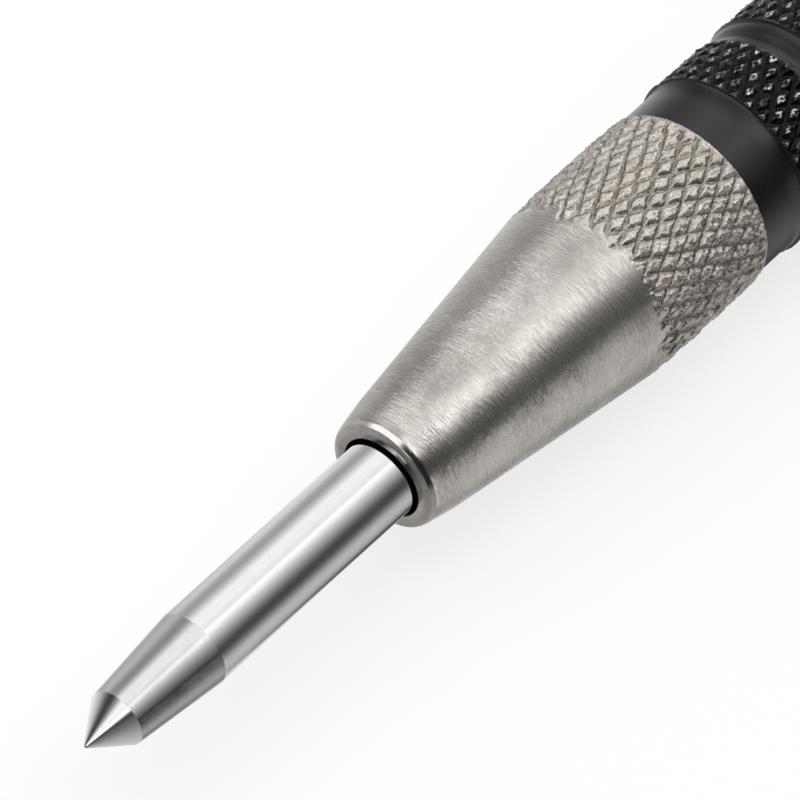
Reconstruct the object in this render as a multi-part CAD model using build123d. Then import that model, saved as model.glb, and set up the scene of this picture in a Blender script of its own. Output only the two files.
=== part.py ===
from build123d import *
import math
import os

os.makedirs("parts", exist_ok=True)

# ---------------------------------------------------------------------------
# Automatic (spring loaded) centre punch, lying along X with its tip at +X and
# its fattest bands on Z = 0.  Lengths in millimetres.
# Stations are written as u, the distance behind the tip; world X = HALF - u.
# ---------------------------------------------------------------------------
OVERALL = 130.0
HALF = OVERALL / 2.0

GRIP_R = 7.05            # crest radius of every knurled band
COLLAR_R = 6.75          # smooth collars of the black barrel
AXIS_Z = GRIP_R

# punch pin
TIP_FLAT_R = 0.13
CONE_END_U, CONE_END_R = 3.03, 2.07
SHANK_START_U, SHANK_R = 10.17, 2.75
WIPER_U, WIPER_END_U, WIPER_R = 28.50, 29.60, 2.45   # oil groove at the mouth
FLANGE_U, FLANGE_LEN, FLANGE_R = 43.05, 3.45, 4.00
SOCKET_R, SOCKET_DEPTH = 1.60, 5.00

# nose cone
LIP_U = 28.65
MOUTH_R, MOUTH_END_U = 2.95, 31.00
GUIDE_R = 2.80
CHAMBER_U, CHAMBER_R = 43.00, 4.10
NOSE_THREAD_U, NOSE_THREAD_R = 50.50, 5.40
NOSE_END_U = 60.24
CONE_JOIN_U = 50.45

# barrel
SPIGOT_U, SPIGOT_R = 50.90, 5.35
FRONT_BORE_R = 4.30
WEB_U, WEB_END_U = 65.00, 68.80
WEB_HOLE_R, WEB_TAPER_R, WEB_TAPER_LEN = 2.28, 3.30, 1.60
REAR_BORE_R = 4.60
BAND_U0, BAND_LEN, BAND_PITCH, BAND_COUNT = 64.35, 4.85, 7.25, 5
BAND_EDGE = 0.30
GROOVE_R, GROOVE_RAMP_R = 6.62, 6.85
REAR_COLLAR_U, BARREL_SHOULDER_U = 100.60, 106.20
TAIL_R, TAIL_END_U = 5.65, 119.50
RELIEF_R, RELIEF_LEN = 5.20, 1.00

# trip pin
TRIP_SPIGOT_R = 1.50
TRIP_FLANGE_U, TRIP_FLANGE_LEN, TRIP_FLANGE_R = 46.52, 1.50, 3.50
TRIP_BODY_R, TRIP_BODY_END_U = 2.20, 58.75
TRIP_NEEDLE_R, TRIP_END_U = 1.30, 68.60

# hammer
HAMMER_U, HAMMER_LEN, HAMMER_R = 68.85, 18.00, 4.52
HAMMER_BORE_R, HAMMER_BORE_DEPTH = 1.40, 12.00
HAMMER_STEM_R, HAMMER_STEM_LEN = 2.40, 4.00

# spring seat and adjusting cap
SEAT_U, SEAT_LEN, SEAT_R = 117.00, 2.00, 4.50
SEAT_STEM_R, SEAT_STEM_LEN = 2.40, 3.00
CAP_U, CAP_R = 108.50, GRIP_R
CAP_BORE_R, CAP_BORE_END_U = 5.75, 122.00
CAP_BOSS_R = 3.20
CAP_FLAT_R = 4.60

# springs: mean radius, wire radius, stations of the two ends, coils
RETURN_SPRING = (2.95, 0.30, 48.06, 64.96, 8.0)
MAIN_SPRING = (3.60, 0.65, 88.90, 116.96, 11.0)


def lathe(points, name):
    """Revolves a closed (u, r) outline round the tool's axis."""
    pts = [(HALF - u, r) for u, r in points]
    with BuildPart() as made:
        with BuildSketch(Plane.XZ):
            with BuildLine():
                Polyline(*pts, close=True)
            make_face()
        revolve(axis=Axis.X)
    return place(made.part, name)


def place(shape, name):
    solid = Pos(0, 0, AXIS_Z) * shape
    solid.label = name
    export_step(solid, os.path.join("parts", name + ".step"))
    return solid


def arc(centre_u, centre_r, radius, start_deg, end_deg, steps):
    """Points on an arc in the (u, r) plane; 0 deg points rearward, 90 deg outward."""
    out = []
    for i in range(steps + 1):
        a = math.radians(start_deg + (end_deg - start_deg) * i / steps)
        out.append((centre_u + radius * math.cos(a), centre_r + radius * math.sin(a)))
    return out


# ---------------------------------------------------------------- punch pin
punch_profile = [
    (0.0, 0.0),
    (0.0, 0.06),
    (0.045, TIP_FLAT_R),
    (CONE_END_U, CONE_END_R),
    (SHANK_START_U, SHANK_R),
    (WIPER_U, SHANK_R),
    (WIPER_U + 0.08, WIPER_R),
    (WIPER_END_U - 0.08, WIPER_R),
    (WIPER_END_U, SHANK_R),
    (FLANGE_U, SHANK_R),
    (FLANGE_U, FLANGE_R - 0.30),
    (FLANGE_U + 0.30, FLANGE_R),
    (FLANGE_U + FLANGE_LEN - 0.30, FLANGE_R),
    (FLANGE_U + FLANGE_LEN, FLANGE_R - 0.30),
    (FLANGE_U + FLANGE_LEN, SOCKET_R),
    (FLANGE_U + FLANGE_LEN - SOCKET_DEPTH, SOCKET_R),
    (FLANGE_U + FLANGE_LEN - SOCKET_DEPTH - 0.90, 0.0),
]
lathe(punch_profile, "punch_pin")

# ---------------------------------------------------------------- nose cone
lip_outer = arc(29.42, 3.43, 0.77, 180.0, 98.0, 8)      # crest round to the flank
lip_inner = arc(28.85, 3.15, 0.20, 270.0, 180.0, 4)     # bore round to the crest
nose_profile = (
    lip_inner
    + lip_outer
    + [
        (31.50, 4.590),
        (40.00, 5.690),
        (49.20, 6.870),
        (CONE_JOIN_U, 7.010),
        (51.20, GRIP_R),
        (59.75, GRIP_R),
        (NOSE_END_U, 6.80),
        (NOSE_END_U, NOSE_THREAD_R + 0.30),
        (NOSE_END_U - 0.30, NOSE_THREAD_R),
        (NOSE_THREAD_U, NOSE_THREAD_R),
        (NOSE_THREAD_U, CHAMBER_R),
        (CHAMBER_U, CHAMBER_R),
        (CHAMBER_U, GUIDE_R + 0.20),
        (CHAMBER_U - 0.20, GUIDE_R),
        (MOUTH_END_U, GUIDE_R),
        (MOUTH_END_U - 0.25, MOUTH_R),
    ]
)
lathe(nose_profile, "nose_cone")

# ------------------------------------------------------------------- barrel
barrel_profile = [
    (SPIGOT_U, FRONT_BORE_R),
    (SPIGOT_U, SPIGOT_R - 0.35),
    (SPIGOT_U + 0.35, SPIGOT_R),
    (NOSE_END_U - 1.00, SPIGOT_R),
    (NOSE_END_U - 0.95, SPIGOT_R - 0.30),
    (NOSE_END_U + 0.02, SPIGOT_R - 0.30),
    (NOSE_END_U + 0.02, COLLAR_R - 0.05),
    (NOSE_END_U + 0.10, COLLAR_R),
    (BAND_U0 - 0.55, COLLAR_R),
]
for i in range(BAND_COUNT):
    u0 = BAND_U0 + i * BAND_PITCH
    u1 = u0 + BAND_LEN
    if i:
        barrel_profile.append((u0 - 0.25, GROOVE_RAMP_R))
    barrel_profile += [
        (u0, GRIP_R),
        (u1 - BAND_EDGE, GRIP_R),
        (u1 + 0.25, GROOVE_R + 0.10),
        (u1 + 0.45, GROOVE_R),
        (u1 + 0.75, GROOVE_R),
    ]
    if i < BAND_COUNT - 1:
        barrel_profile.append((u1 + 1.75, GROOVE_RAMP_R))
barrel_profile += [
    (REAR_COLLAR_U, COLLAR_R),
    (BARREL_SHOULDER_U - 0.30, COLLAR_R),
    (BARREL_SHOULDER_U, COLLAR_R - 0.30),
    (BARREL_SHOULDER_U, RELIEF_R),
    (BARREL_SHOULDER_U + RELIEF_LEN, RELIEF_R),
    (BARREL_SHOULDER_U + RELIEF_LEN + 0.45, TAIL_R),
    (TAIL_END_U - 0.45, TAIL_R),
    (TAIL_END_U, TAIL_R - 0.45),
    (TAIL_END_U, REAR_BORE_R + 0.20),
    (TAIL_END_U - 0.20, REAR_BORE_R),
    (WEB_END_U, REAR_BORE_R),
    (WEB_END_U, WEB_HOLE_R),
    (WEB_U + WEB_TAPER_LEN, WEB_HOLE_R),
    (WEB_U, WEB_TAPER_R),
    (WEB_U, FRONT_BORE_R),
]
lathe(barrel_profile, "barrel")

# ----------------------------------------------------------------- trip pin
trip_front_u = FLANGE_U + FLANGE_LEN - SOCKET_DEPTH + 0.10
trip_profile = [
    (trip_front_u, 0.0),
    (trip_front_u, TRIP_SPIGOT_R - 0.30),
    (trip_front_u + 0.30, TRIP_SPIGOT_R),
    (TRIP_FLANGE_U, TRIP_SPIGOT_R),
    (TRIP_FLANGE_U, TRIP_FLANGE_R),
    (TRIP_FLANGE_U + TRIP_FLANGE_LEN, TRIP_FLANGE_R),
    (TRIP_FLANGE_U + TRIP_FLANGE_LEN, TRIP_BODY_R),
    (TRIP_BODY_END_U - 0.60, TRIP_BODY_R),
    (TRIP_BODY_END_U, TRIP_BODY_R - 0.45),
    (TRIP_BODY_END_U, TRIP_NEEDLE_R),
    (TRIP_END_U - 0.30, TRIP_NEEDLE_R),
    (TRIP_END_U, TRIP_NEEDLE_R - 0.30),
    (TRIP_END_U, 0.0),
]
lathe(trip_profile, "trip_pin")

# ------------------------------------------------------------------- hammer
hammer_end_u = HAMMER_U + HAMMER_LEN
hammer_profile = [
    (HAMMER_U, HAMMER_BORE_R + 0.35),
    (HAMMER_U, HAMMER_R - 0.40),
    (HAMMER_U + 0.40, HAMMER_R),
    (hammer_end_u - 0.40, HAMMER_R),
    (hammer_end_u, HAMMER_R - 0.40),
    (hammer_end_u, HAMMER_STEM_R),
    (hammer_end_u + HAMMER_STEM_LEN - 0.50, HAMMER_STEM_R),
    (hammer_end_u + HAMMER_STEM_LEN, HAMMER_STEM_R - 0.50),
    (hammer_end_u + HAMMER_STEM_LEN, 0.0),
    (HAMMER_U + HAMMER_BORE_DEPTH + 0.80, 0.0),
    (HAMMER_U + HAMMER_BORE_DEPTH, HAMMER_BORE_R),
    (HAMMER_U + 0.35, HAMMER_BORE_R),
]
lathe(hammer_profile, "hammer")

# -------------------------------------------------------------- spring seat
seat_profile = [
    (SEAT_U - SEAT_STEM_LEN, 0.0),
    (SEAT_U - SEAT_STEM_LEN, SEAT_STEM_R - 0.50),
    (SEAT_U - SEAT_STEM_LEN + 0.50, SEAT_STEM_R),
    (SEAT_U, SEAT_STEM_R),
    (SEAT_U, SEAT_R),
    (SEAT_U + SEAT_LEN, SEAT_R),
    (SEAT_U + SEAT_LEN, 0.0),
]
lathe(seat_profile, "spring_seat")

# ------------------------------------------------------------ adjusting cap
cap_profile = [
    (CAP_U, CAP_BORE_R + 0.35),
    (CAP_U, CAP_R - 0.45),
    (CAP_U + 0.45, CAP_R - 0.10),
    (CAP_U + 1.60, CAP_R - 0.10),
    (CAP_U + 1.85, CAP_R),
    (124.60, CAP_R),
    (124.85, CAP_R - 0.10),
    (126.20, CAP_R - 0.10),
]
cap_profile += arc(126.90, 4.25, 2.74, 82.0, 22.0, 7)
cap_profile += [
    (OVERALL, CAP_FLAT_R),
    (OVERALL, 0.0),
    (SEAT_U + SEAT_LEN + 0.03, 0.0),
    (SEAT_U + SEAT_LEN + 0.03, CAP_BOSS_R),
    (CAP_BORE_END_U, CAP_BOSS_R),
    (CAP_BORE_END_U, CAP_BORE_R),
    (CAP_U + 0.35, CAP_BORE_R),
]
lathe(cap_profile, "adjusting_cap")


# ------------------------------------------------------------------ springs
def spring(mean_r, wire_r, u0, u1, coils, name):
    """A coil of round wire standing between two faces, its axis on the tool's."""
    height = (u1 - u0) - 2.0 * wire_r
    helix = Helix(pitch=height / coils, height=height, radius=mean_r)
    start = helix @ 0
    tangent = helix % 0
    section = Plane(origin=start, z_dir=tangent) * Circle(wire_r)
    coil = sweep(section, path=helix, is_frenet=True)
    coil = Rotation(0, 90, 0) * coil
    coil = Pos(HALF - u1 + wire_r, 0, 0) * coil
    return place(coil, name)


spring(*RETURN_SPRING, "return_spring")
spring(*MAIN_SPRING, "main_spring")
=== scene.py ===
import math

import bmesh
import bpy
import numpy as np
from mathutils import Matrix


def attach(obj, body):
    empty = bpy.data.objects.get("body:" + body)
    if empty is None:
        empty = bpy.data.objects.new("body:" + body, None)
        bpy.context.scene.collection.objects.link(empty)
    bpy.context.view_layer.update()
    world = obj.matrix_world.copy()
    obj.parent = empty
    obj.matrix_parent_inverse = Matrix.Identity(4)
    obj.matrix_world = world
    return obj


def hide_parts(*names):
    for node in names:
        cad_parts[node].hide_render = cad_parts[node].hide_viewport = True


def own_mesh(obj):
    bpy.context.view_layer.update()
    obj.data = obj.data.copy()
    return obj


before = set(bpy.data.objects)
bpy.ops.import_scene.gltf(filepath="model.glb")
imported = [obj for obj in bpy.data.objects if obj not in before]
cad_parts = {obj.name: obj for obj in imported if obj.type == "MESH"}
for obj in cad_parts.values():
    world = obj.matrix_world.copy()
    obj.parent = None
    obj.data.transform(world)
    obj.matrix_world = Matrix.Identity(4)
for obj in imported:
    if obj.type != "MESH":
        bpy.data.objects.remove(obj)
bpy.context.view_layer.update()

# ---------------------------------------------------------------------------
# Stations are u, the distance behind the tip in millimetres, as in the CAD.
# ---------------------------------------------------------------------------
MM = 0.001
HALF = 65.0
AXIS_Z = 7.05
GRIP_R = 7.05
STARTS = 35                       # knurl starts each way round
PITCH_A = 2.28                    # length of one diamond along the axis
FLOOR_GLOW = 0.77


def hash01(a, b=0, c=0):
    """Repeatable pseudo-random number in 0..1 from whole numbers."""
    h = (np.asarray(a, dtype=np.int64) * 374761393 + np.asarray(b, dtype=np.int64) * 668265263 + int(c) * 2147483647 + 1274126177) & 0xFFFFFFFF
    h = ((h ^ (h >> 13)) * 1274126177) & 0xFFFFFFFF
    h = (h ^ (h >> 16)) & 0xFFFFFFFF
    return h / 4294967296.0


def smooth01(x):
    x = np.clip(x, 0.0, 1.0)
    return x * x * (3.0 - 2.0 * x)


def value_noise(x, y, seed, wrap=None):
    """Smooth noise in -1..1; wrap is the period of x in whole cells."""
    x0 = np.floor(x).astype(np.int64)
    y0 = np.floor(y).astype(np.int64)
    fx = smooth01(x - x0)
    fy = smooth01(y - y0)

    def at(i, j):
        if wrap:
            i = np.mod(i, wrap)
        return hash01(i, j, seed) * 2.0 - 1.0

    top = at(x0, y0) * (1 - fx) + at(x0 + 1, y0) * fx
    low = at(x0, y0 + 1) * (1 - fx) + at(x0 + 1, y0 + 1) * fx
    return top * (1 - fy) + low * fy


# ----------------------------------------------------------------- the knurl
def knurl_depth(u, ang, u0, u1, depth, seed, ragged=0.0, fade=0.25, land=0.54, rough=1.0, thin=0.0, ring=0.055):
    """The diamond knurl at station u and angle ang (arrays): how far it is cut in, how deep in a
    groove the point is (0..1), how near the brow of a diamond (0..1), and whether it is knurled."""
    turns = ang / (2 * math.pi)
    warp = 0.022 * value_noise(turns * 16.0, u / 2.1, seed + 3, 16)
    warp = warp + 0.050 * rough * value_noise(turns * 130.0, u / 0.34, seed + 6, 130)
    drift = 0.05 * rough * value_noise(turns * 7.0, u / 5.0, seed + 4, 7)
    drift = drift + 0.045 * rough * value_noise(turns * 110.0, u / 0.42, seed + 7, 110)
    fa = turns * STARTS + u / PITCH_A + warp
    fb = turns * STARTS - u / PITCH_A + warp * 0.5 + drift + 0.5
    ia = np.floor(fa + 0.5)
    ib = np.floor(fb + 0.5)
    da = np.abs(fa - ia)          # 0 in a groove, 0.5 midway between two
    db = np.abs(fb - ib)
    wide = 0.5 * (1.0 - land)
    slim = wide * (1.0 - thin)
    # each groove is a little deeper or shallower than its neighbours
    ga = 0.92 + 0.22 * hash01(np.mod(ia, STARTS), seed, 5)
    gb = (0.66 - 0.5 * thin) + 0.34 * hash01(np.mod(ib, STARTS), seed, 9)
    va = ga * np.clip(1.0 - da / slim, 0.0, 1.0) ** 0.9
    vb = gb * np.clip(1.0 - db / wide, 0.0, 1.0) ** 0.9
    cut = np.maximum(va, vb)
    # crests: slightly crowned, each one rolled to its own height and tilt
    ca = np.floor(fa)
    cb = np.floor(fb)
    xa = fa - ca - 0.5
    xb = fb - cb - 0.5
    cell = np.mod(ca, STARTS) * 64 + np.mod(cb, STARTS * 8)
    lump = 0.20 * rough * hash01(cell, seed, 21)
    tilt = rough * 0.42 * (xa * (hash01(cell, seed, 22) - 0.5) + xb * (hash01(cell, seed, 23) - 0.5))
    crown = (0.24 - 0.3 * thin) * (xa * xa + xb * xb)
    d1 = value_noise(turns * 200.0, u / 0.21, seed + 40, 200)
    d2 = value_noise(turns * 96.0, u / 0.46, seed + 41, 96)
    patch = smooth01(0.5 + 0.9 * value_noise(turns * 5.0, u / 3.6, seed + 42, 5))
    dent = rough * (0.50 + 0.85 * patch) * (0.17 * (d1 + 0.45) + 0.16 * (d2 + 0.3))
    body = crown + lump + tilt + np.maximum(dent, -0.03)
    h = np.clip(np.maximum(cut, 0.0) + body * (1.0 - 0.45 * cut), 0.0, 1.15)
    line = np.where(va > vb, np.mod(ia, STARTS) * 2, np.mod(ib, STARTS) * 2 + 1)
    edge0 = u0 + ragged * (hash01(line, seed, 31) - 0.6) + 0.35 * ragged * value_noise(turns * 70.0, u / 0.4, seed + 50, 70)
    start = smooth01((u - edge0) / max(fade, 1e-3) + 0.35)
    edge1 = u1 + 0.25 * ragged * value_noise(turns * 64.0, u / 9.0, seed + 51, 64)
    end = smooth01((edge1 - u) / 0.14 + 0.5)
    inside = start * end
    near = np.minimum(da, db)
    brow = np.exp(-(((near - wide - 0.5 * ring + 0.0275) / ring) ** 2)) * np.clip(0.25 + 1.3 * (0.5 + 0.5 * d2), 0, 1)
    return depth * h * inside, np.clip(cut, 0, 1) * inside, brow * inside, inside


# ------------------------------------------------------------- mesh builders
def lathe(name, profile, columns, displace=None, sharp=(), closed=True):
    """Turns a closed (u, r) outline into a mesh. displace(u, r, angle) gives the cut, then the
    groove, brow and knurl shares, which are kept as point attributes."""
    prof = np.array([(p[0], p[1]) for p in profile], float)
    rows = len(prof)
    ang = np.arange(columns) * (2 * math.pi / columns)
    U = np.repeat(prof[:, 0:1], columns, axis=1)
    R = np.repeat(prof[:, 1:2], columns, axis=1)
    A = np.repeat(ang[None, :], rows, axis=0)
    groove = np.zeros_like(U)
    brow = np.zeros_like(U)
    knurled = np.zeros_like(U)
    moved = np.zeros_like(U)
    if displace is not None:
        moved, groove, brow, knurled = displace(U, R, A)
        R = R - moved
    X = (HALF - U) * MM
    Y = R * np.sin(A) * MM
    Z = (AXIS_Z + R * np.cos(A)) * MM
    verts, index = [], np.zeros((rows, columns), dtype=np.int64)
    g_attr, b_attr, k_attr = [], [], []
    n = 0
    for i in range(rows):
        if prof[i, 1] < 1e-9:
            verts.append((X[i, 0], 0.0, AXIS_Z * MM))
            g_attr.append(0.0)
            b_attr.append(0.0)
            k_attr.append(0.0)
            index[i, :] = n
            n += 1
        else:
            verts.extend(zip(X[i], Y[i], Z[i]))
            g_attr.extend(groove[i])
            b_attr.extend(brow[i])
            k_attr.extend(knurled[i])
            index[i, :] = np.arange(n, n + columns)
            n += columns
    faces = []
    last = rows if closed else rows - 1
    for i in range(last):
        j = (i + 1) % rows
        pole_i, pole_j = prof[i, 1] < 1e-9, prof[j, 1] < 1e-9
        if pole_i and pole_j:
            continue
        a, b = index[i], index[j]
        a2, b2 = np.roll(a, -1), np.roll(b, -1)
        if pole_i:
            faces.extend((int(p), int(r), int(q)) for p, q, r in zip(a, b, b2))
        elif pole_j:
            faces.extend((int(p), int(q), int(r)) for p, q, r in zip(a, a2, b))
        elif moved[i].max() > 0 or moved[j].max() > 0:
            low = (R[i] + np.roll(R[j], -1)) < (np.roll(R[i], -1) + R[j])
            for k in range(columns):
                p, q, r, t = int(a[k]), int(a2[k]), int(b2[k]), int(b[k])
                if low[k]:
                    faces.append((p, q, r))
                    faces.append((p, r, t))
                else:
                    faces.append((p, q, t))
                    faces.append((q, r, t))
        else:
            faces.extend((int(p), int(q), int(r), int(t)) for p, q, r, t in zip(a, a2, b2, b))
    me = bpy.data.meshes.new(name)
    me.from_pydata(verts, [], faces)
    me.validate()
    me.update()
    obj = bpy.data.objects.new(name, me)
    bpy.context.scene.collection.objects.link(obj)
    me.polygons.foreach_set("use_smooth", [True] * len(me.polygons))
    bm = bmesh.new()
    bm.from_mesh(me)
    bmesh.ops.recalc_face_normals(bm, faces=bm.faces)
    bm.verts.ensure_lookup_table()
    ring = np.full(n, -1)
    for i in range(rows):
        if prof[i, 1] >= 1e-9:
            ring[index[i]] = i
    crisp = set()
    for i in range(rows):
        if prof[i, 1] < 1e-9:
            continue
        p, q = prof[(i - 1) % rows], prof[(i + 1) % rows]
        v1 = prof[i] - p
        v2 = q - prof[i]
        l1, l2 = np.hypot(*v1), np.hypot(*v2)
        if l1 < 1e-9 or l2 < 1e-9:
            continue
        cosv = float(np.dot(v1, v2) / (l1 * l2))
        if cosv < math.cos(math.radians(24)) or i in sharp:
            crisp.add(i)
    for e in bm.edges:
        r0, r1 = ring[e.verts[0].index], ring[e.verts[1].index]
        if r0 == r1 and int(r0) in crisp:
            e.smooth = False
    bm.to_mesh(me)
    bm.free()
    if displace is not None:
        for attr, values in (("groove", g_attr), ("brow", b_attr), ("knurled", k_attr)):
            layer = me.attributes.new(attr, "FLOAT", "POINT")
            layer.data.foreach_set("value", np.array(values, dtype=np.float32))
    me.update()
    return obj


def arc(cu, cr, radius, a0, a1, steps):
    out = []
    for i in range(steps + 1):
        a = math.radians(a0 + (a1 - a0) * i / steps)
        out.append((cu + radius * math.cos(a), cr + radius * math.sin(a)))
    return out


def run(p, q, step):
    """Points from p (left out) to q (kept) no further apart than step."""
    n = max(1, int(math.ceil(math.hypot(q[0] - p[0], q[1] - p[1]) / step - 1e-9)))
    return [(p[0] + (q[0] - p[0]) * i / n, p[1] + (q[1] - p[1]) * i / n) for i in range(1, n + 1)]


def soften(points, radius, steps=3, closed=True):
    """Rounds each corner of a closed outline with a small radius."""
    out = []
    n = len(points)
    for i in range(n):
        p, c, q = np.array(points[i - 1]), np.array(points[i]), np.array(points[(i + 1) % n])
        d1, d2 = p - c, q - c
        l1, l2 = np.hypot(*d1), np.hypot(*d2)
        if l1 < 1e-6 or l2 < 1e-6:
            continue
        cosv = float(np.dot(d1, d2) / (l1 * l2))
        turn = math.pi - math.acos(max(-1, min(1, cosv)))
        if turn < math.radians(20) or c[1] < 1e-9:
            out.append(tuple(c))
            continue
        t = min(radius * math.tan(turn / 2), 0.4 * l1, 0.4 * l2)
        a, b = c + d1 / l1 * t, c + d2 / l2 * t
        for k in range(steps + 1):
            s = k / steps
            out.append(tuple((1 - s) ** 2 * a + 2 * s * (1 - s) * c + s * s * b))
    return out


# ---------------------------------------------------------------- materials
def new_material(name):
    m = bpy.data.materials.new(name)
    m.use_nodes = True
    nt = m.node_tree
    nt.nodes.clear()
    out = nt.nodes.new("ShaderNodeOutputMaterial")
    bsdf = nt.nodes.new("ShaderNodeBsdfPrincipled")
    nt.links.new(bsdf.outputs[0], out.inputs[0])
    return m, nt, bsdf


def node(nt, kind, **values):
    n = nt.nodes.new(kind)
    for k, v in values.items():
        if k in n.inputs:
            n.inputs[k].default_value = v
        else:
            setattr(n, k, v)
    return n


def math_node(nt, op, a, b=None, c=None, clamp=False):
    n = nt.nodes.new("ShaderNodeMath")
    n.operation = op
    n.use_clamp = clamp
    for i, v in enumerate((a, b, c)):
        if v is None:
            continue
        if isinstance(v, (int, float)):
            n.inputs[i].default_value = v
        else:
            nt.links.new(v, n.inputs[i])
    return n.outputs[0]


def axis_coords(nt):
    """u (mm behind the tip), radius (mm) and the unit direction round the axis."""
    tc = nt.nodes.new("ShaderNodeTexCoord")
    sep = nt.nodes.new("ShaderNodeSeparateXYZ")
    nt.links.new(tc.outputs["Object"], sep.inputs[0])
    u = math_node(nt, "MULTIPLY_ADD", sep.outputs[0], -1000.0, HALF)
    y = math_node(nt, "MULTIPLY", sep.outputs[1], 1000.0)
    z = math_node(nt, "MULTIPLY_ADD", sep.outputs[2], 1000.0, -AXIS_Z)
    r2 = math_node(nt, "ADD", math_node(nt, "MULTIPLY", y, y), math_node(nt, "MULTIPLY", z, z))
    r = math_node(nt, "SQRT", r2)
    safe = math_node(nt, "MAXIMUM", r, 0.01)
    cy = math_node(nt, "DIVIDE", y, safe)
    cz = math_node(nt, "DIVIDE", z, safe)
    return u, r, cy, cz


def ring_vector(nt, u, cy, cz, u_scale, round_scale, twist=None):
    """A coordinate that runs fast along the axis and slowly round it: turned marks."""
    comb = nt.nodes.new("ShaderNodeCombineXYZ")
    nt.links.new(math_node(nt, "MULTIPLY", u, u_scale), comb.inputs[0])
    nt.links.new(math_node(nt, "MULTIPLY", cy, round_scale), comb.inputs[1])
    nt.links.new(math_node(nt, "MULTIPLY", cz, round_scale), comb.inputs[2])
    return comb.outputs[0]


def noise(nt, vec, scale, detail=2.0, rough=0.5):
    n = nt.nodes.new("ShaderNodeTexNoise")
    n.inputs["Scale"].default_value = scale
    n.inputs["Detail"].default_value = detail
    n.inputs["Roughness"].default_value = rough
    nt.links.new(vec, n.inputs["Vector"])
    return n.outputs["Fac"]


def ramp(nt, fac, stops):
    n = nt.nodes.new("ShaderNodeValToRGB")
    el = n.color_ramp.elements
    while len(el) > 1:
        el.remove(el[-1])
    el[0].position = stops[0][0]
    el[0].color = stops[0][1]
    for pos, col in stops[1:]:
        e = el.new(pos)
        e.color = col
    nt.links.new(fac, n.inputs[0])
    return n.outputs[0]


def map_range(nt, v, a, b, c, d, smooth=False):
    n = nt.nodes.new("ShaderNodeMapRange")
    n.interpolation_type = "SMOOTHSTEP" if smooth else "LINEAR"
    nt.links.new(v, n.inputs[0])
    for i, x in zip((1, 2, 3, 4), (a, b, c, d)):
        n.inputs[i].default_value = x
    return n.outputs[0]


def grey(v, g=None, b=None):
    return (v, v if g is None else g, v if b is None else b, 1.0)


def attribute(nt, name):
    n = nt.nodes.new("ShaderNodeAttribute")
    n.attribute_type = "GEOMETRY"
    n.attribute_name = name
    return n.outputs["Fac"]


def mix_colour(nt, fac, c1, c2):
    n = nt.nodes.new("ShaderNodeMix")
    n.data_type = "RGBA"
    nt.links.new(fac, n.inputs[0])
    for i, c in ((6, c1), (7, c2)):
        if isinstance(c, tuple):
            n.inputs[i].default_value = c
        else:
            nt.links.new(c, n.inputs[i])
    return n.outputs[2]


def bump(nt, height, distance, strength, bsdf):
    n = nt.nodes.new("ShaderNodeBump")
    n.inputs["Strength"].default_value = strength
    n.inputs["Distance"].default_value = distance
    nt.links.new(height, n.inputs["Height"])
    nt.links.new(n.outputs[0], bsdf.inputs["Normal"])


def polished_steel():
    m, nt, bsdf = new_material("polished_steel_visual")
    u, r, cy, cz = axis_coords(nt)
    fine = noise(nt, ring_vector(nt, u, cy, cz, 4.0, 2.2), 1.0, 3.0, 0.6)
    broad = noise(nt, ring_vector(nt, u, cy, cz, 0.35, 1.6), 1.3, 2.0, 0.5)
    mix = math_node(nt, "MULTIPLY_ADD", fine, 0.5, math_node(nt, "MULTIPLY", broad, 0.5))
    bright = ramp(nt, mix, [(0.25, grey(0.515, 0.517, 0.522)), (0.75, grey(0.565, 0.567, 0.571))])
    # painted shade: a near-black, dull, non-metal ring on the shank where it goes into the mouth stands in for the
    # shadow in the gap
    painted_gap_shade = math_node(nt, "MULTIPLY", map_range(nt, u, 28.42, 28.50, 0.0, 1.0), map_range(nt, u, 30.40, 31.20, 1.0, 0.0))
    nt.links.new(mix_colour(nt, painted_gap_shade, bright, (0.007, 0.0065, 0.006, 1)), bsdf.inputs["Base Color"])
    nt.links.new(math_node(nt, "MULTIPLY_ADD", painted_gap_shade, 0.25, map_range(nt, mix, 0.25, 0.75, 0.075, 0.11)), bsdf.inputs["Roughness"])
    nt.links.new(math_node(nt, "SUBTRACT", 1.0, painted_gap_shade), bsdf.inputs["Metallic"])
    bsdf.inputs["Specular IOR Level"].default_value = 0.0
    bump(nt, fine, 0.000003, 0.4, bsdf)
    return m


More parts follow.
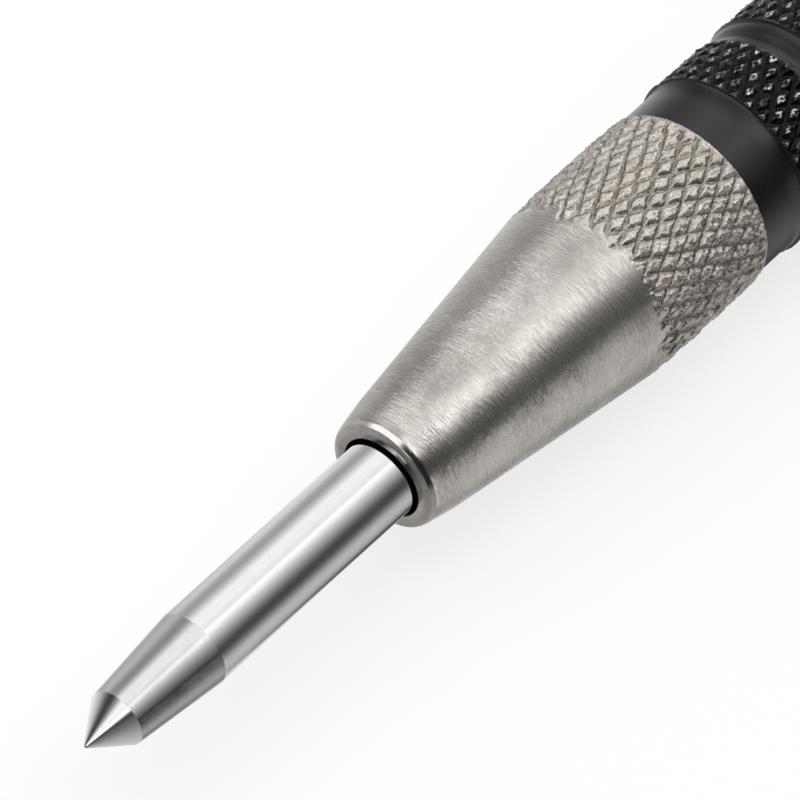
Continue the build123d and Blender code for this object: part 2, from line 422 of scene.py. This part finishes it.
def nickel():
    m, nt, bsdf = new_material("satin_nickel_visual")
    u, r, cy, cz = axis_coords(nt)
    # turned marks: short streaks round the axis, crowded in patches
    streak = noise(nt, ring_vector(nt, u, cy, cz, 2.6, 4.2), 1.0, 3.5, 0.62)
    scratch = noise(nt, ring_vector(nt, u, cy, cz, 8.5, 5.5), 1.0, 2.0, 0.55)
    fine = noise(nt, ring_vector(nt, u, cy, cz, 15.0, 7.0), 1.0, 2.0, 0.6)
    patch = noise(nt, ring_vector(nt, u, cy, cz, 0.35, 2.6), 1.0, 3.0, 0.55)
    tint = noise(nt, ring_vector(nt, u, cy, cz, 0.16, 1.2), 1.0, 2.0, 0.5)
    marks = math_node(nt, "MULTIPLY_ADD", streak, 0.40, math_node(nt, "MULTIPLY_ADD", scratch, 0.38, math_node(nt, "MULTIPLY", fine, 0.22)))
    worked = math_node(nt, "MULTIPLY", math_node(nt, "SUBTRACT", marks, 0.5), map_range(nt, patch, 0.32, 0.66, 0.5, 1.7))
    tone = math_node(nt, "MULTIPLY_ADD", worked, 0.60, math_node(nt, "MULTIPLY_ADD", tint, 0.35, 0.325))
    base = ramp(nt, tone, [(0.28, grey(0.327, 0.303, 0.274)), (0.50, grey(0.457, 0.433, 0.403)), (0.72, grey(0.602, 0.582, 0.555))])
    # the knurl is duller and torn, and darker and browner down in the grooves
    knurled = math_node(nt, "MULTIPLY", map_range(nt, u, 48.9, 50.4, 0.0, 1.0, smooth=True), map_range(nt, r, 6.3, 6.6, 0.0, 1.0))
    tear = noise(nt, ring_vector(nt, u, cy, cz, 5.5, 38.0), 1.0, 3.0, 0.65)
    blotch = noise(nt, ring_vector(nt, u, cy, cz, 0.9, 6.0), 1.0, 2.0, 0.5)
    worn = ramp(nt, math_node(nt, "MULTIPLY_ADD", tear, 0.7, math_node(nt, "MULTIPLY", blotch, 0.3)),
                [(0.36, grey(0.328, 0.295, 0.261)), (0.50, grey(0.440, 0.407, 0.368)), (0.62, grey(0.585, 0.554, 0.512))])
    face = mix_colour(nt, knurled, base, worn)
    # a darker, browner colour mixed in by how deep in a groove the point is
    groove_darkening = map_range(nt, attribute(nt, "groove"), 0.12, 0.80, 0.0, 0.56)
    groove_darkened = mix_colour(nt, groove_darkening, face, (0.090, 0.068, 0.052, 1))
    brow = math_node(nt, "MULTIPLY", map_range(nt, attribute(nt, "brow"), 0.35, 1.0, 0.0, 0.32), map_range(nt, tear, 0.40, 0.56, 0.1, 1.0))
    worked_face = mix_colour(nt, brow, groove_darkened, (0.64, 0.62, 0.595, 1))
    # painted shade: the inside of the mouth is coloured near-black and made dull and non-metal, standing in for the
    # shadow in the gap round the pin
    painted_bore_shade = math_node(nt, "MULTIPLY", map_range(nt, r, 3.04, 3.10, 1.0, 0.0), map_range(nt, u, 28.64, 28.70, 0.0, 1.0))
    nt.links.new(mix_colour(nt, painted_bore_shade, worked_face, (0.010, 0.009, 0.008, 1)), bsdf.inputs["Base Color"])
    # polished lip, satin cone and knurl
    satin = map_range(nt, worked, -0.25, 0.25, 0.33, 0.21)
    polish = map_range(nt, u, 29.24, 29.44, 0.12, 0.0)
    rough = math_node(nt, "SUBTRACT", satin, polish)
    nt.links.new(rough, bsdf.inputs["Roughness"])
    # the painted shade inside the mouth is non-metal, so it shows no reflection
    nt.links.new(math_node(nt, "SUBTRACT", 1.0, painted_bore_shade), bsdf.inputs["Metallic"])
    bsdf.inputs["Specular IOR Level"].default_value = 0.0
    bsdf.inputs["Anisotropic"].default_value = 0.3
    height = math_node(nt, "MULTIPLY_ADD", math_node(nt, "MULTIPLY", tear, knurled), 1.3, math_node(nt, "MULTIPLY", math_node(nt, "MULTIPLY", worked, map_range(nt, u, 29.6, 30.1, 0.25, 1.0)), math_node(nt, "SUBTRACT", 1.0, knurled)))
    bump(nt, height, 0.00009, 0.6, bsdf)
    return m


def black():
    m, nt, bsdf = new_material("black_finish_visual")
    u, r, cy, cz = axis_coords(nt)
    cloud = noise(nt, ring_vector(nt, u, cy, cz, 0.35, 2.4), 1.0, 4.0, 0.6)
    grain = noise(nt, ring_vector(nt, u, cy, cz, 4.0, 26.0), 1.0, 3.0, 0.6)
    rub = noise(nt, ring_vector(nt, u, cy, cz, 1.5, 10.0), 1.0, 2.0, 0.5)
    both = math_node(nt, "MULTIPLY_ADD", cloud, 0.65, math_node(nt, "MULTIPLY", grain, 0.35))
    base = ramp(nt, both, [(0.3, grey(0.0022, 0.0022, 0.0023)), (0.7, grey(0.0050, 0.0050, 0.0052))])
    groove = attribute(nt, "groove")
    brow = attribute(nt, "brow")
    # the finish is rubbed bright on the brows of the diamonds
    worn = math_node(nt, "MULTIPLY", map_range(nt, brow, 0.30, 0.75, 0.0, 1.0, smooth=True), map_range(nt, rub, 0.42, 0.60, 0.06, 1.0), clamp=True)
    # between the diamonds the bluing is sooty and takes little light
    cut = attribute(nt, "knurled")
    soot = ramp(nt, both, [(0.3, grey(0.0075, 0.0075, 0.0078)), (0.7, grey(0.013, 0.013, 0.0135))])
    ground = mix_colour(nt, cut, base, soot)
    nt.links.new(mix_colour(nt, worn, ground, (0.46, 0.455, 0.45, 1)), bsdf.inputs["Base Color"])
    nt.links.new(cut, bsdf.inputs["Metallic"])
    rough = map_range(nt, both, 0.3, 0.7, 0.22, 0.31)
    sheen = math_node(nt, "MULTIPLY", worn, 0.06)
    nt.links.new(math_node(nt, "SUBTRACT", rough, sheen), bsdf.inputs["Roughness"])
    bsdf.inputs["Specular IOR Level"].default_value = 0.37
    bump(nt, grain, 0.00001, 0.4, bsdf)
    return m


def inner_steel(name, tone, rough):
    m, nt, bsdf = new_material(name)
    u, r, cy, cz = axis_coords(nt)
    fine = noise(nt, ring_vector(nt, u, cy, cz, 7.0, 1.0), 2.0, 3.0, 0.6)
    nt.links.new(ramp(nt, fine, [(0.3, grey(tone * 0.85)), (0.7, grey(tone))]), bsdf.inputs["Base Color"])
    nt.links.new(map_range(nt, fine, 0.3, 0.7, rough, rough + 0.08), bsdf.inputs["Roughness"])
    bsdf.inputs["Metallic"].default_value = 1.0
    return m


STEEL = polished_steel()
NICKEL = nickel()
BLACK = black()
TOOL = inner_steel("tool_steel_visual", 0.52, 0.28)
WIRE = inner_steel("spring_wire_visual", 0.40, 0.33)


def finish_piece(obj, material, body, node_name):
    obj.data.materials.clear()
    obj.data.materials.append(material)
    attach(obj, body)
    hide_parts(node_name)
    return obj


# ------------------------------------------------------------------ punch pin
tip = [(0.0, 0.0)] + arc(0.17, 0.0, 0.17, 168.0, 118.0, 4)
pin = tip + [
    (3.03, 2.07), (6.60, 2.410), (10.17, 2.75),
    (19.0, 2.75), (28.44, 2.75), (28.50, 2.72), (28.58, 2.45), (29.52, 2.45), (29.60, 2.75), (36.0, 2.75),
    (43.05, 2.75), (43.05, 3.70), (43.35, 4.00), (46.20, 4.00), (46.50, 3.70),
    (46.50, 1.60), (41.50, 1.60), (40.60, 0.0),
]
pin_obj = lathe("punch_pin_turned", pin, 192, sharp=(6, 8))
finish_piece(pin_obj, STEEL, "punch", "punch_pin")

# ------------------------------------------------------------------ nose cone
lip_inner = arc(28.85, 3.15, 0.20, 270.0, 180.0, 6)
# the lip turns slowly at its face and shoulder, fast between them
lip_outer = arc(28.65 + 0.55, 3.60, 0.55, 180.0, 130.5, 16)
for radius, first, last, steps in ((0.10, 130.5, 119.5, 4), (1.35, 119.5, 100.0, 14)):
    c, t = math.radians(first), lip_outer[-1]
    lip_outer += arc(t[0] - radius * math.cos(c), t[1] - radius * math.sin(c), radius, first, last, steps)[1:]
lip_end = run(lip_outer[-1], (31.50, 4.590), 0.6)
nose = [lip_end[-1]]
nose += run(nose[-1], (40.00, 5.690), 2.2)
nose += run(nose[-1], (48.20, 6.7435), 2.2)
nose += run(nose[-1], (49.20, 6.870), 0.110)
nose += run(nose[-1], (50.45, 7.010), 0.110)
nose += run(nose[-1], (51.20, GRIP_R), 0.110)
nose += run(nose[-1], (59.75, GRIP_R), 0.110)
nose += [(59.87, 7.005), (60.00, 6.955), (60.24, 6.80), (60.24, 5.70), (59.94, 5.40), (50.50, 5.40), (50.50, 4.10), (43.00, 4.10),
         (43.00, 3.00), (42.80, 2.80), (31.50, 2.80)]


def nose_cut(u, r, a):
    on = (u > 47.2) & (r > 6.5)
    got = knurl_depth(u, a, 49.45, 60.02, 0.28, 11, ragged=1.0, fade=0.8, land=0.48, thin=0.22, rough=1.4)
    deep = np.minimum(got[0], np.maximum(0.0, r - 6.70))
    return [np.where(on, g, 0.0) for g in (deep, *got[1:])]


lip_obj = lathe("nose_cone_lip", [(31.50, 2.80), (31.00, 2.80), (30.85, 2.95)] + lip_inner + lip_outer + lip_end, 288)
finish_piece(lip_obj, NICKEL, "barrel", "nose_cone")
lip_obj.visible_glossy = False
nose_obj = lathe("nose_cone_knurled", nose, 576, displace=nose_cut)
finish_piece(nose_obj, NICKEL, "barrel", "nose_cone")

# --------------------------------------------------------------------- barrel
BANDS = [64.35 + 7.25 * i for i in range(5)]
BAND_LEN = 4.85


def barrel_cut(u, r, a):
    out = [np.zeros_like(u) for _ in range(4)]
    for i, u0 in enumerate(BANDS):
        got = knurl_depth(u, a, u0 + 0.10, u0 + BAND_LEN - 0.16, 0.30, 101 + 17 * i, ragged=0.12, fade=0.22, land=0.36, rough=0.8, ring=0.085)
        on = (u > u0 - 0.3) & (u < u0 + BAND_LEN + 0.1) & (r > 6.7)
        out = [np.where(on, g, o) for g, o in zip(got, out)]
    return out


barrel = [(50.90, 4.30), (50.90, 5.00), (51.25, 5.35), (59.24, 5.35), (59.29, 5.05), (60.26, 5.05), (60.26, 6.70), (60.34, 6.75)]
barrel += run(barrel[-1], (63.80, 6.75), 1.2)
for i, u0 in enumerate(BANDS):
    u1 = u0 + BAND_LEN
    if i:
        barrel += run(barrel[-1], (u0 - 0.25, 6.85), 0.5)
    barrel += [(u0 - 0.12, 6.92 if i else 6.88), (u0, GRIP_R)]
    barrel += run(barrel[-1], (u1 - 0.30, GRIP_R), 0.138 if i < 2 else 0.217)
    barrel += [(u1 - 0.02, 6.88), (u1 + 0.25, 6.72), (u1 + 0.36, 6.65), (u1 + 0.45, 6.62), (u1 + 0.75, 6.62)]
    if i < len(BANDS) - 1:
        barrel += [(u1 + 0.9, 6.635), (u1 + 1.3, 6.745), (u1 + 1.75, 6.85)]
barrel += [(BANDS[-1] + BAND_LEN + 1.6, 6.67), (100.60, 6.75)]
barrel += run(barrel[-1], (105.90, 6.75), 1.5)
barrel += [(106.20, 6.45), (106.20, 5.20), (107.20, 5.20)]
thread_u0, thread_u1 = 107.65, 119.05
barrel += run(barrel[-1], (thread_u0, 5.65), 0.2)
barrel += run(barrel[-1], (112.4, 5.65), 0.144)
barrel += run(barrel[-1], (thread_u1, 5.65), 1.0)
barrel += [(119.50, 5.20), (119.50, 4.80), (119.30, 4.60), (68.80, 4.60), (68.80, 2.28), (66.60, 2.28), (65.00, 3.30), (65.00, 4.30)]


def barrel_all(u, r, a):
    cut, groove, brow, inside = barrel_cut(u, r, a)
    ph = np.mod(u - a / (2 * math.pi), 1.0)
    v = np.abs(ph - 0.5) * 2.0
    thread = 0.42 * np.clip((v - 0.12) / 0.76, 0, 1)
    here = (u > 107.3) & (u < 112.4) & (r > 5.3)
    fadeo = smooth01((112.4 - u) / 0.6) * smooth01((u - 107.2) / 0.4)
    return np.where(here, thread * fadeo, cut), groove, brow, inside


barrel_obj = lathe("barrel_knurled", barrel, 384, displace=barrel_all)
finish_piece(barrel_obj, BLACK, "barrel", "barrel")

# -------------------------------------------------------------- adjusting cap
cap = [(108.50, 6.10), (108.50, 6.60), (108.66, 6.80), (108.95, 6.95)]
cap += run(cap[-1], (110.10, 6.95), 0.6)
cap += [(110.35, GRIP_R)]
cap += run(cap[-1], (124.60, GRIP_R), 0.1917)
cap += [(124.85, 6.95)]
cap += run(cap[-1], (126.20, 6.95), 0.5)
cap += arc(126.90, 4.25, 2.74, 88.0, 24.0, 14)
cap += [(130.0, 4.85), (130.0, 4.60), (130.0, 2.6), (130.0, 0.0), (119.03, 0.0), (119.03, 3.20), (122.00, 3.20), (122.00, 5.75), (108.85, 5.75)]


def cap_cut(u, r, a):
    got = knurl_depth(u, a, 110.50, 124.45, 0.30, 303, ragged=0.12, fade=0.22, land=0.36, rough=0.8, ring=0.085)
    on = (u > 110.1) & (u < 124.8) & (r > 6.7)
    return [np.where(on, g, 0.0) for g in got]


cap_obj = lathe("adjusting_cap_knurled", cap, 384, displace=cap_cut)
finish_piece(cap_obj, BLACK, "cap", "adjusting_cap")


# -------------------------------------------------------------------- springs
def spring(name, mean_r, wire_r, u0, u1, coils, body, node_name, steps=28, sides=10):
    height = (u1 - u0) - 2 * wire_r
    n = int(coils * steps)
    verts, faces = [], []
    for i in range(n + 1):
        a = 2 * math.pi * coils * i / n
        u = u0 + wire_r + height * i / n
        rad = np.array([0.0, math.cos(a), math.sin(a)])
        axial = np.array([1.0, 0.0, 0.0])
        centre = np.array([HALF - u, mean_r * math.cos(a), AXIS_Z + mean_r * math.sin(a)])
        for k in range(sides):
            b = 2 * math.pi * k / sides
            verts.append(tuple((centre + wire_r * (math.cos(b) * rad + math.sin(b) * axial)) * MM))
    for i in range(n):
        for k in range(sides):
            k2 = (k + 1) % sides
            faces.append((i * sides + k, i * sides + k2, (i + 1) * sides + k2, (i + 1) * sides + k))
    faces.append(tuple(range(sides - 1, -1, -1)))
    faces.append(tuple(n * sides + k for k in range(sides)))
    me = bpy.data.meshes.new(name)
    me.from_pydata(verts, [], faces)
    me.update()
    bm = bmesh.new()
    bm.from_mesh(me)
    bmesh.ops.recalc_face_normals(bm, faces=bm.faces)
    bm.to_mesh(me)
    bm.free()
    me.polygons.foreach_set("use_smooth", [True] * len(me.polygons))
    obj = bpy.data.objects.new(name, me)
    bpy.context.scene.collection.objects.link(obj)
    finish_piece(obj, WIRE, body, node_name)
    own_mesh(obj)
    return obj


spring("return_spring_coil", 2.95, 0.30, 48.06, 64.96, 8.0, "barrel", "return_spring")
spring("main_spring_coil", 3.60, 0.65, 88.90, 116.96, 11.0, "seat", "main_spring")

# ------------------------------------------------------------ CAD nodes kept
for name in ("trip_pin", "hammer", "spring_seat"):
    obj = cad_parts[name]
    for i in range(max(1, len(obj.material_slots))):
        if obj.material_slots:
            obj.material_slots[i].material = TOOL
        else:
            obj.data.materials.append(TOOL)

# ------------------------------------------------------- floor and backdrop
STAGE_R = 3.0
PALE = 0.975
ring = [(STAGE_R * math.cos(2 * math.pi * i / 96), STAGE_R * math.sin(2 * math.pi * i / 96)) for i in range(96)]
me = bpy.data.meshes.new("floor")
me.from_pydata([(x, y, 0.0) for x, y in ring], [], [tuple(range(96))])
floor = bpy.data.objects.new("floor", me)
bpy.context.scene.collection.objects.link(floor)
fm, fnt, fb = new_material("floor_pale")
tc = fnt.nodes.new("ShaderNodeTexCoord")
fn = noise(fnt, tc.outputs["Object"], 3.0, 2.0, 0.5)
fnt.links.new(ramp(fnt, fn, [(0.3, grey(0.21, 0.21, 0.21)), (0.7, grey(0.225, 0.225, 0.225))]), fb.inputs["Base Color"])
fb.inputs["Roughness"].default_value = 0.9
fb.inputs["Specular IOR Level"].default_value = 0.0
fb.inputs["Emission Color"].default_value = (1.0, 1.0, 1.0, 1.0)
fb.inputs["Emission Strength"].default_value = FLOOR_GLOW
me.materials.append(fm)
floor.visible_glossy = False

dome_v, dome_f = [], []
for j in range(13):
    h = math.radians(90.0 * j / 12)
    for i in range(96):
        dome_v.append((STAGE_R * math.cos(2 * math.pi * i / 96) * math.cos(h), STAGE_R * math.sin(2 * math.pi * i / 96) * math.cos(h), STAGE_R * math.sin(h)))
for j in range(12):
    for i in range(96):
        k = (i + 1) % 96
        dome_f.append((j * 96 + i, j * 96 + k, (j + 1) * 96 + k, (j + 1) * 96 + i))
me = bpy.data.meshes.new("backdrop")
me.from_pydata(dome_v, [], dome_f)
backdrop = bpy.data.objects.new("backdrop", me)
bpy.context.scene.collection.objects.link(backdrop)
bm_, bnt, bb = new_material("backdrop_pale")
bb.inputs["Base Color"].default_value = (0.0, 0.0, 0.0, 1.0)
bb.inputs["Specular IOR Level"].default_value = 0.0
bb.inputs["Emission Color"].default_value = (1.0, 1.0, 1.0, 1.0)
bb.inputs["Emission Strength"].default_value = PALE
me.materials.append(bm_)
for flag in ("visible_glossy", "visible_diffuse", "visible_transmission", "visible_shadow", "visible_volume_scatter"):
    setattr(backdrop, flag, False)

# ---------------------------------------------------------------------- world
world = bpy.data.worlds.new("studio")
bpy.context.scene.world = world
world.use_nodes = True
wnt = world.node_tree
wnt.nodes.clear()
wout = wnt.nodes.new("ShaderNodeOutputWorld")
wbg = wnt.nodes.new("ShaderNodeBackground")
wnt.links.new(wbg.outputs[0], wout.inputs[0])
wtc = wnt.nodes.new("ShaderNodeTexCoord")
# One studio, written as what a surface with its face turned BETA degrees round the tool from the
# main viewpoint, and LEAN degrees towards the tip, mirrors from it.
VIEW = (0.51475, 0.42133, 0.74664)


def vector_node(nt, op, a, b=None):
    n = nt.nodes.new("ShaderNodeVectorMath")
    n.operation = op
    nt.links.new(a, n.inputs[0])
    if b is not None:
        n.inputs[1].default_value = b
    return n.outputs[0]


half = vector_node(wnt, "NORMALIZE", vector_node(wnt, "ADD", wtc.outputs["Generated"], VIEW))
wsep = wnt.nodes.new("ShaderNodeSeparateXYZ")
wnt.links.new(half, wsep.inputs[0])
turn = math_node(wnt, "ARCTAN2", wsep.outputs[1], wsep.outputs[2])       # 0 overhead, + towards +Y
beta01 = math_node(wnt, "MULTIPLY_ADD", turn, -180.0 / math.pi / 200.0, 0.5 + 29.435 / 200.0)


def stops(pairs):
    return [(deg / 200.0 + 0.5, grey(v)) for deg, v in pairs]


SHANK = [(-90, 0.109), (-72, 0.126), (-62, 0.61), (-53, 0.834), (-45, 0.745), (-38, 0.37), (-33, 0.166), (-28, 0.103), (-23, 0.129), (-18, 0.266), (-13,
         0.508), (-8, 0.811), (-4, 1.05), (0, 1.5), (3, 1.72), (6, 1.95), (9, 1.48), (13, 1.49), (18, 1.64), (23, 1.61), (28, 1.65), (33, 1.27), (38, 0.883),
         (45, 0.587), (53, 0.696), (62, 1.07), (72, 1.07), (90, 1.18)]
TAPER = [(-90, 0.3), (-72, 0.323), (-62, 0.54), (-53, 0.452), (-45, 0.179), (-38, 0.02), (-33, 0.02), (-28, 0.0466), (-23, 0.234), (-18, 0.392), (-13, 0.651),
         (-8, 0.868), (-4, 0.933), (0, 1.51), (3, 1.39), (6, 1.06), (9, 1.42), (13, 1.59), (18, 1.66), (23, 1.65), (28, 1.06), (33, 0.536), (38, 0.413), (45,
         0.54), (53, 0.808), (62, 0.814), (72, 0.628), (90, 0.665)]
CONE = [(-90, 0.952), (-72, 1.03), (-62, 1.37), (-53, 1.39), (-45, 1.37), (-38, 1.55), (-33, 1.25), (-28, 0.269), (-23, 0.137), (-18, 0.0983), (-13, 0.0839),
        (-8, 0.824), (-4, 3), (0, 3), (3, 2.92), (6, 2.54), (9, 1.97), (13, 0.711), (18, 0.268), (23, 0.224), (28, 0.407), (33, 0.953), (38, 0.484), (45,
        0.115), (53, 0.185), (62, 0.175), (72, 0.765), (90, 0.787)]
POINT = [(-90, 0.896), (-72, 0.828), (-62, 0.751), (-53, 0.647), (-45, 0.523), (-38, 0.426), (-33, 0.354), (-28, 0.287), (-23, 0.24), (-18, 0.203), (-13,
         0.0846), (-8, 0.176), (-4, 1.96), (0, 2.37), (3, 1.48), (6, 1.74), (9, 1.7), (13, 1.76), (18, 1.36), (23, 0.688), (28, 0.365), (33, 0.144), (38,
         0.079), (45, 0.116), (53, 0.327), (62, 0.697), (72, 0.96), (90, 1.24)]
LIP = [(-90, 0.62), (-50, 0.58), (-42, 0.42), (-36, 0.04), (3, 0.03), (8, 0.25), (12, 2.2), (42, 2.2), (50, 0.8), (90, 0.76)]
RIM = [(-90, 0.52), (-40, 0.44), (-20, 0.25), (10, 0.32), (40, 0.56), (90, 0.70)]
lean = wsep.outputs[0]
slim = math_node(wnt, "MULTIPLY", math_node(wnt, "SUBTRACT", lean, 0.0948), math_node(wnt, "COSINE", math_node(wnt, "SUBTRACT", turn, math.radians(29.435))))
narrow = math_node(wnt, "MULTIPLY", map_range(wnt, slim, 0.008, 0.014, 0.0, 1.0, smooth=True), map_range(wnt, slim, 0.037, 0.044, 1.0, 0.0, smooth=True))
sky = ramp(wnt, beta01, stops(SHANK))
for share, table in (
    (map_range(wnt, lean, 0.045, 0.072, 0.0, 1.0, smooth=True), CONE),
    (narrow, TAPER),
    (map_range(wnt, lean, 0.205, 0.235, 0.0, 1.0, smooth=True), LIP),
    (map_range(wnt, lean, 0.495, 0.52, 0.0, 1.0, smooth=True), POINT),
    (map_range(wnt, lean, 0.63, 0.66, 0.0, 1.0, smooth=True), RIM),
):
    sky = mix_colour(wnt, share, sky, ramp(wnt, beta01, stops(table)))
wnt.links.new(sky, wbg.inputs["Color"])
wbg.inputs["Strength"].default_value = 1.0

# --------------------------------------------------------------------- camera
AZ, EL, DIST = 129.3, 48.3, 450.0
a, e = math.radians(AZ), math.radians(EL)
back = np.array([math.sin(a) * math.cos(e), -math.cos(a) * math.cos(e), math.sin(e)])
right = np.array([math.cos(a), math.sin(a), 0.0])
up = np.cross(back, right)
axis_point = np.array([31.41, 0.0, AXIS_Z])
side = -0.6734 * right + 0.7393 * up
look = axis_point + 2.888 * side
pos = look + DIST * back
cam_data = bpy.data.cameras.new("camera")
cam_data.type = "PERSP"
cam_data.sensor_width = 36.0
cam_data.sensor_fit = "HORIZONTAL"
cam_data.lens = 7012.0 / 800.0 * 36.0
cam_data.clip_start = 0.01
cam_data.clip_end = 20.0
cam = bpy.data.objects.new("camera", cam_data)
from mathutils import Matrix

ROLL = 0.0055
right, up = right * math.cos(ROLL) + up * math.sin(ROLL), up * math.cos(ROLL) - right * math.sin(ROLL)
rot = Matrix(((right[0], up[0], back[0]), (right[1], up[1], back[1]), (right[2], up[2], back[2])))
cam.matrix_world = Matrix.Translation([float(v) * MM for v in pos]) @ rot.to_4x4()
bpy.context.scene.collection.objects.link(cam)
bpy.context.scene.camera = cam

scene = bpy.context.scene
scene.view_settings.view_transform = "Standard"
scene.view_settings.look = "None"
scene.view_settings.exposure = 0.0
scene.view_settings.gamma = 1.0
